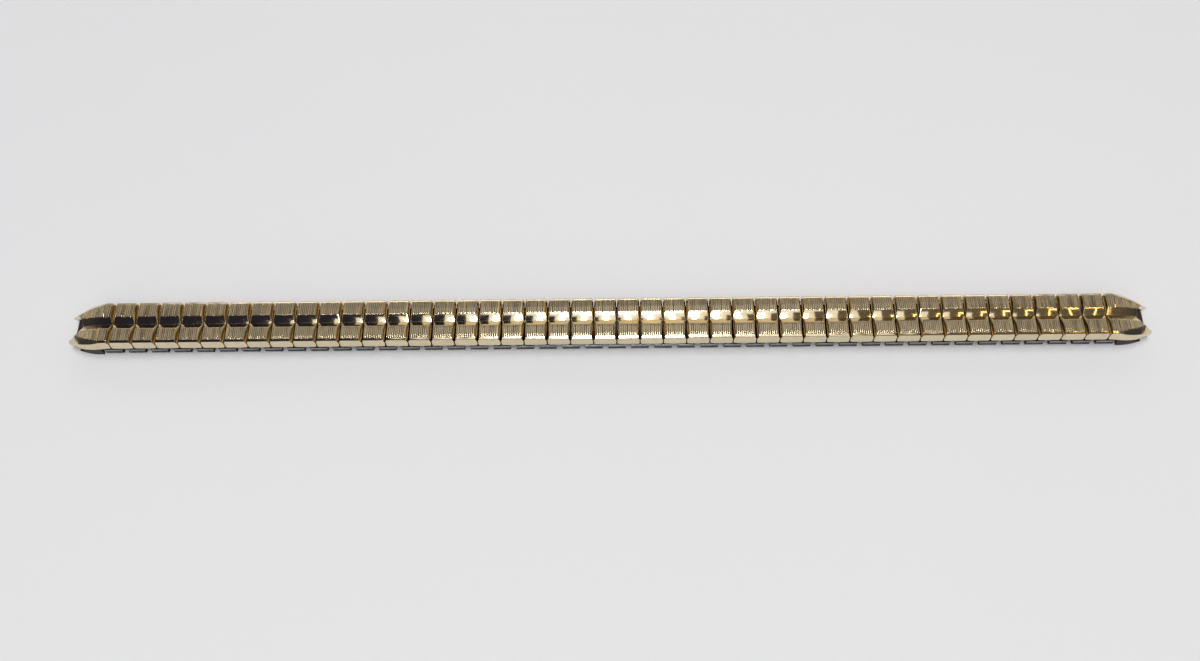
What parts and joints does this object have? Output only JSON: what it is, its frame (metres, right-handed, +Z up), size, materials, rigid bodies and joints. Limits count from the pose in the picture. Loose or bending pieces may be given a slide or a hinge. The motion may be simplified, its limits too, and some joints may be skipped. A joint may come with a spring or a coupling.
{
  "type": "watch strap",
  "caption": "Narrow metal expansion band for a wrist watch: fluted gilt covers over sprung steel links, which stretch and curl, and a horned end piece with a bar tube at each end.",
  "frame": {"origin": "under the middle of the centre link, on the plane of the bottom links' undersides", "axes": "+X along the band to the right end piece, +Y across the band, +Z up out of the decorative side"},
  "size_m": [0.1456, 0.0062, 0.0034],
  "materials": {
    "gold_cover": "gilt sheet, polished, with cut flutes",
    "steel_sleeve": "bright rolled",
    "steel_bottom": "bright rolled, lightly worn",
    "steel_staple": "drawn and stamped",
    "steel_liner": "bright rolled",
    "spring_steel": "blue-grey tempered strip"
  },
  "bodies": {
    "center": {"center_cover": "gold_cover", "center_sleeve": "steel_sleeve", "center_bottom_links": "steel_bottom", "center_leaf_springs": "spring_steel", "center_staples": "steel_staple"},
    "right_01": {"link_right_01": "gold_cover"},
    "right_02": {"link_right_02": "gold_cover"},
    "right_03": {"link_right_03": "gold_cover"},
    "right_04": {"link_right_04": "gold_cover"},
    "right_05": {"link_right_05": "gold_cover"},
    "right_06": {"link_right_06": "gold_cover"},
    "right_07": {"link_right_07": "gold_cover"},
    "right_08": {"link_right_08": "gold_cover"},
    "right_09": {"link_right_09": "gold_cover"},
    "right_10": {"link_right_10": "gold_cover"},
    "right_11": {"link_right_11": "gold_cover"},
    "right_12": {"link_right_12": "gold_cover"},
    "right_13": {"link_right_13": "gold_cover"},
    "right_14": {"link_right_14": "gold_cover"},
    "right_15": {"link_right_15": "gold_cover"},
    "right_16": {"link_right_16": "gold_cover"},
    "right_17": {"link_right_17": "gold_cover"},
    "right_18": {"link_right_18": "gold_cover"},
    "right_19": {"link_right_19": "gold_cover"},
    "right_20": {"link_right_20": "gold_cover"},
    "right_21": {"link_right_21": "gold_cover"},
    "right_end": {"end_cover_right": "gold_cover", "end_liner_right": "steel_liner", "end_leaf_spring_right": "spring_steel"},
    "left_01": {"link_left_01": "gold_cover"},
    "left_02": {"link_left_02": "gold_cover"},
    "left_03": {"link_left_03": "gold_cover"},
    "left_04": {"link_left_04": "gold_cover"},
    "left_05": {"link_left_05": "gold_cover"},
    "left_06": {"link_left_06": "gold_cover"},
    "left_07": {"link_left_07": "gold_cover"},
    "left_08": {"link_left_08": "gold_cover"},
    "left_09": {"link_left_09": "gold_cover"},
    "left_10": {"link_left_10": "gold_cover"},
    "left_11": {"link_left_11": "gold_cover"},
    "left_12": {"link_left_12": "gold_cover"},
    "left_13": {"link_left_13": "gold_cover"},
    "left_14": {"link_left_14": "gold_cover"},
    "left_15": {"link_left_15": "gold_cover"},
    "left_16": {"link_left_16": "gold_cover"},
    "left_17": {"link_left_17": "gold_cover"},
    "left_18": {"link_left_18": "gold_cover"},
    "left_19": {"link_left_19": "gold_cover"},
    "left_20": {"link_left_20": "gold_cover"},
    "left_21": {"link_left_21": "gold_cover"},
    "left_end": {"end_cover_left": "gold_cover", "end_liner_left": "steel_liner", "end_leaf_spring_left": "spring_steel"}
  },
  "joints": [
    {"name": "curl_right", "type": "hinge", "parent": "center", "child": "right_01", "pos_m": [0.0028, 0, 0.0017], "axis": [0, 1, 0], "range_deg": [-4, 14]},
    {"name": "stretch_right", "type": "slide", "parent": "right_01", "child": "right_02", "axis": [1, 0, 0], "range_m": [0, 0.0009], "stiffness_N_per_m": 300},
    {"name": "curl_right_03", "type": "hinge", "parent": "right_02", "child": "right_03", "pos_m": [0.009, 0, 0.0017], "axis": [0, 1, 0], "range_deg": [-4, 14]},
    {"name": "stretch_right_04", "type": "slide", "parent": "right_03", "child": "right_04", "axis": [1, 0, 0], "range_m": [0, 0.0009], "stiffness_N_per_m": 300},
    {"name": "curl_right_05", "type": "hinge", "parent": "right_04", "child": "right_05", "pos_m": [0.0152, 0, 0.0017], "axis": [0, 1, 0], "range_deg": [-4, 14]},
    {"name": "stretch_right_06", "type": "slide", "parent": "right_05", "child": "right_06", "axis": [1, 0, 0], "range_m": [0, 0.0009], "stiffness_N_per_m": 300},
    {"name": "curl_right_07", "type": "hinge", "parent": "right_06", "child": "right_07", "pos_m": [0.0214, 0, 0.0017], "axis": [0, 1, 0], "range_deg": [-4, 14]},
    {"name": "stretch_right_08", "type": "slide", "parent": "right_07", "child": "right_08", "axis": [1, 0, 0], "range_m": [0, 0.0009], "stiffness_N_per_m": 300},
    {"name": "curl_right_09", "type": "hinge", "parent": "right_08", "child": "right_09", "pos_m": [0.0276, 0, 0.0017], "axis": [0, 1, 0], "range_deg": [-4, 14]},
    {"name": "stretch_right_10", "type": "slide", "parent": "right_09", "child": "right_10", "axis": [1, 0, 0], "range_m": [0, 0.0009], "stiffness_N_per_m": 300},
    {"name": "curl_right_11", "type": "hinge", "parent": "right_10", "child": "right_11", "pos_m": [0.0338, 0, 0.0017], "axis": [0, 1, 0], "range_deg": [-4, 14]},
    {"name": "stretch_right_12", "type": "slide", "parent": "right_11", "child": "right_12", "axis": [1, 0, 0], "range_m": [0, 0.0009], "stiffness_N_per_m": 300},
    {"name": "curl_right_13", "type": "hinge", "parent": "right_12", "child": "right_13", "pos_m": [0.04, 0, 0.0017], "axis": [0, 1, 0], "range_deg": [-4, 14]},
    {"name": "stretch_right_14", "type": "slide", "parent": "right_13", "child": "right_14", "axis": [1, 0, 0], "range_m": [0, 0.0009], "stiffness_N_per_m": 300},
    {"name": "curl_right_15", "type": "hinge", "parent": "right_14", "child": "right_15", "pos_m": [0.0462, 0, 0.0017], "axis": [0, 1, 0], "range_deg": [-4, 14]},
    {"name": "stretch_right_16", "type": "slide", "parent": "right_15", "child": "right_16", "axis": [1, 0, 0], "range_m": [0, 0.0009], "stiffness_N_per_m": 300},
    {"name": "curl_right_17", "type": "hinge", "parent": "right_16", "child": "right_17", "pos_m": [0.0524, 0, 0.0017], "axis": [0, 1, 0], "range_deg": [-4, 14]},
    {"name": "stretch_right_18", "type": "slide", "parent": "right_17", "child": "right_18", "axis": [1, 0, 0], "range_m": [0, 0.0009], "stiffness_N_per_m": 300},
    {"name": "curl_right_19", "type": "hinge", "parent": "right_18", "child": "right_19", "pos_m": [0.0586, 0, 0.0017], "axis": [0, 1, 0], "range_deg": [-4, 14]},
    {"name": "stretch_right_20", "type": "slide", "parent": "right_19", "child": "right_20", "axis": [1, 0, 0], "range_m": [0, 0.0009], "stiffness_N_per_m": 300},
    {"name": "curl_right_21", "type": "hinge", "parent": "right_20", "child": "right_21", "pos_m": [0.0648, 0, 0.0017], "axis": [0, 1, 0], "range_deg": [-4, 14]},
    {"name": "stretch_right_22", "type": "slide", "parent": "right_21", "child": "right_end", "axis": [1, 0, 0], "range_m": [0, 0.0009], "stiffness_N_per_m": 300},
    {"name": "curl_left", "type": "hinge", "parent": "center", "child": "left_01", "pos_m": [-0.0028, 0, 0.0017], "axis": [0, -1, 0], "range_deg": [-4, 14]},
    {"name": "stretch_left", "type": "slide", "parent": "left_01", "child": "left_02", "axis": [-1, 0, 0], "range_m": [0, 0.0009], "stiffness_N_per_m": 300},
    {"name": "curl_left_03", "type": "hinge", "parent": "left_02", "child": "left_03", "pos_m": [-0.009, 0, 0.0017], "axis": [0, -1, 0], "range_deg": [-4, 14]},
    {"name": "stretch_left_04", "type": "slide", "parent": "left_03", "child": "left_04", "axis": [-1, 0, 0], "range_m": [0, 0.0009], "stiffness_N_per_m": 300},
    {"name": "curl_left_05", "type": "hinge", "parent": "left_04", "child": "left_05", "pos_m": [-0.0152, 0, 0.0017], "axis": [0, -1, 0], "range_deg": [-4, 14]},
    {"name": "stretch_left_06", "type": "slide", "parent": "left_05", "child": "left_06", "axis": [-1, 0, 0], "range_m": [0, 0.0009], "stiffness_N_per_m": 300},
    {"name": "curl_left_07", "type": "hinge", "parent": "left_06", "child": "left_07", "pos_m": [-0.0214, 0, 0.0017], "axis": [0, -1, 0], "range_deg": [-4, 14]},
    {"name": "stretch_left_08", "type": "slide", "parent": "left_07", "child": "left_08", "axis": [-1, 0, 0], "range_m": [0, 0.0009], "stiffness_N_per_m": 300},
    {"name": "curl_left_09", "type": "hinge", "parent": "left_08", "child": "left_09", "pos_m": [-0.0276, 0, 0.0017], "axis": [0, -1, 0], "range_deg": [-4, 14]},
    {"name": "stretch_left_10", "type": "slide", "parent": "left_09", "child": "left_10", "axis": [-1, 0, 0], "range_m": [0, 0.0009], "stiffness_N_per_m": 300},
    {"name": "curl_left_11", "type": "hinge", "parent": "left_10", "child": "left_11", "pos_m": [-0.0338, 0, 0.0017], "axis": [0, -1, 0], "range_deg": [-4, 14]},
    {"name": "stretch_left_12", "type": "slide", "parent": "left_11", "child": "left_12", "axis": [-1, 0, 0], "range_m": [0, 0.0009], "stiffness_N_per_m": 300},
    {"name": "curl_left_13", "type": "hinge", "parent": "left_12", "child": "left_13", "pos_m": [-0.04, 0, 0.0017], "axis": [0, -1, 0], "range_deg": [-4, 14]},
    {"name": "stretch_left_14", "type": "slide", "parent": "left_13", "child": "left_14", "axis": [-1, 0, 0], "range_m": [0, 0.0009], "stiffness_N_per_m": 300},
    {"name": "curl_left_15", "type": "hinge", "parent": "left_14", "child": "left_15", "pos_m": [-0.0462, 0, 0.0017], "axis": [0, -1, 0], "range_deg": [-4, 14]},
    {"name": "stretch_left_16", "type": "slide", "parent": "left_15", "child": "left_16", "axis": [-1, 0, 0], "range_m": [0, 0.0009], "stiffness_N_per_m": 300},
    {"name": "curl_left_17", "type": "hinge", "parent": "left_16", "child": "left_17", "pos_m": [-0.0524, 0, 0.0017], "axis": [0, -1, 0], "range_deg": [-4, 14]},
    {"name": "stretch_left_18", "type": "slide", "parent": "left_17", "child": "left_18", "axis": [-1, 0, 0], "range_m": [0, 0.0009], "stiffness_N_per_m": 300},
    {"name": "curl_left_19", "type": "hinge", "parent": "left_18", "child": "left_19", "pos_m": [-0.0586, 0, 0.0017], "axis": [0, -1, 0], "range_deg": [-4, 14]},
    {"name": "stretch_left_20", "type": "slide", "parent": "left_19", "child": "left_20", "axis": [-1, 0, 0], "range_m": [0, 0.0009], "stiffness_N_per_m": 300},
    {"name": "curl_left_21", "type": "hinge", "parent": "left_20", "child": "left_21", "pos_m": [-0.0648, 0, 0.0017], "axis": [0, -1, 0], "range_deg": [-4, 14]},
    {"name": "stretch_left_22", "type": "slide", "parent": "left_21", "child": "left_end", "axis": [-1, 0, 0], "range_m": [0, 0.0009], "stiffness_N_per_m": 300}
  ],
  "couplings": [
    {"joint": "curl_right_03", "follows": "curl_right", "ratio": 1},
    {"joint": "stretch_right_04", "follows": "stretch_right", "ratio": 1},
    {"joint": "curl_right_05", "follows": "curl_right", "ratio": 1},
    {"joint": "stretch_right_06", "follows": "stretch_right", "ratio": 1},
    {"joint": "curl_right_07", "follows": "curl_right", "ratio": 1},
    {"joint": "stretch_right_08", "follows": "stretch_right", "ratio": 1},
    {"joint": "curl_right_09", "follows": "curl_right", "ratio": 1},
    {"joint": "stretch_right_10", "follows": "stretch_right", "ratio": 1},
    {"joint": "curl_right_11", "follows": "curl_right", "ratio": 1},
    {"joint": "stretch_right_12", "follows": "stretch_right", "ratio": 1},
    {"joint": "curl_right_13", "follows": "curl_right", "ratio": 1},
    {"joint": "stretch_right_14", "follows": "stretch_right", "ratio": 1},
    {"joint": "curl_right_15", "follows": "curl_right", "ratio": 1},
    {"joint": "stretch_right_16", "follows": "stretch_right", "ratio": 1},
    {"joint": "curl_right_17", "follows": "curl_right", "ratio": 1},
    {"joint": "stretch_right_18", "follows": "stretch_right", "ratio": 1},
    {"joint": "curl_right_19", "follows": "curl_right", "ratio": 1},
    {"joint": "stretch_right_20", "follows": "stretch_right", "ratio": 1},
    {"joint": "curl_right_21", "follows": "curl_right", "ratio": 1},
    {"joint": "stretch_right_22", "follows": "stretch_right", "ratio": 1},
    {"joint": "curl_left_03", "follows": "curl_left", "ratio": 1},
    {"joint": "stretch_left_04", "follows": "stretch_left", "ratio": 1},
    {"joint": "curl_left_05", "follows": "curl_left", "ratio": 1},
    {"joint": "stretch_left_06", "follows": "stretch_left", "ratio": 1},
    {"joint": "curl_left_07", "follows": "curl_left", "ratio": 1},
    {"joint": "stretch_left_08", "follows": "stretch_left", "ratio": 1},
    {"joint": "curl_left_09", "follows": "curl_left", "ratio": 1},
    {"joint": "stretch_left_10", "follows": "stretch_left", "ratio": 1},
    {"joint": "curl_left_11", "follows": "curl_left", "ratio": 1},
    {"joint": "stretch_left_12", "follows": "stretch_left", "ratio": 1},
    {"joint": "curl_left_13", "follows": "curl_left", "ratio": 1},
    {"joint": "stretch_left_14", "follows": "stretch_left", "ratio": 1},
    {"joint": "curl_left_15", "follows": "curl_left", "ratio": 1},
    {"joint": "stretch_left_16", "follows": "stretch_left", "ratio": 1},
    {"joint": "curl_left_17", "follows": "curl_left", "ratio": 1},
    {"joint": "stretch_left_18", "follows": "stretch_left", "ratio": 1},
    {"joint": "curl_left_19", "follows": "curl_left", "ratio": 1},
    {"joint": "stretch_left_20", "follows": "stretch_left", "ratio": 1},
    {"joint": "curl_left_21", "follows": "curl_left", "ratio": 1},
    {"joint": "stretch_left_22", "follows": "stretch_left", "ratio": 1}
  ]
}
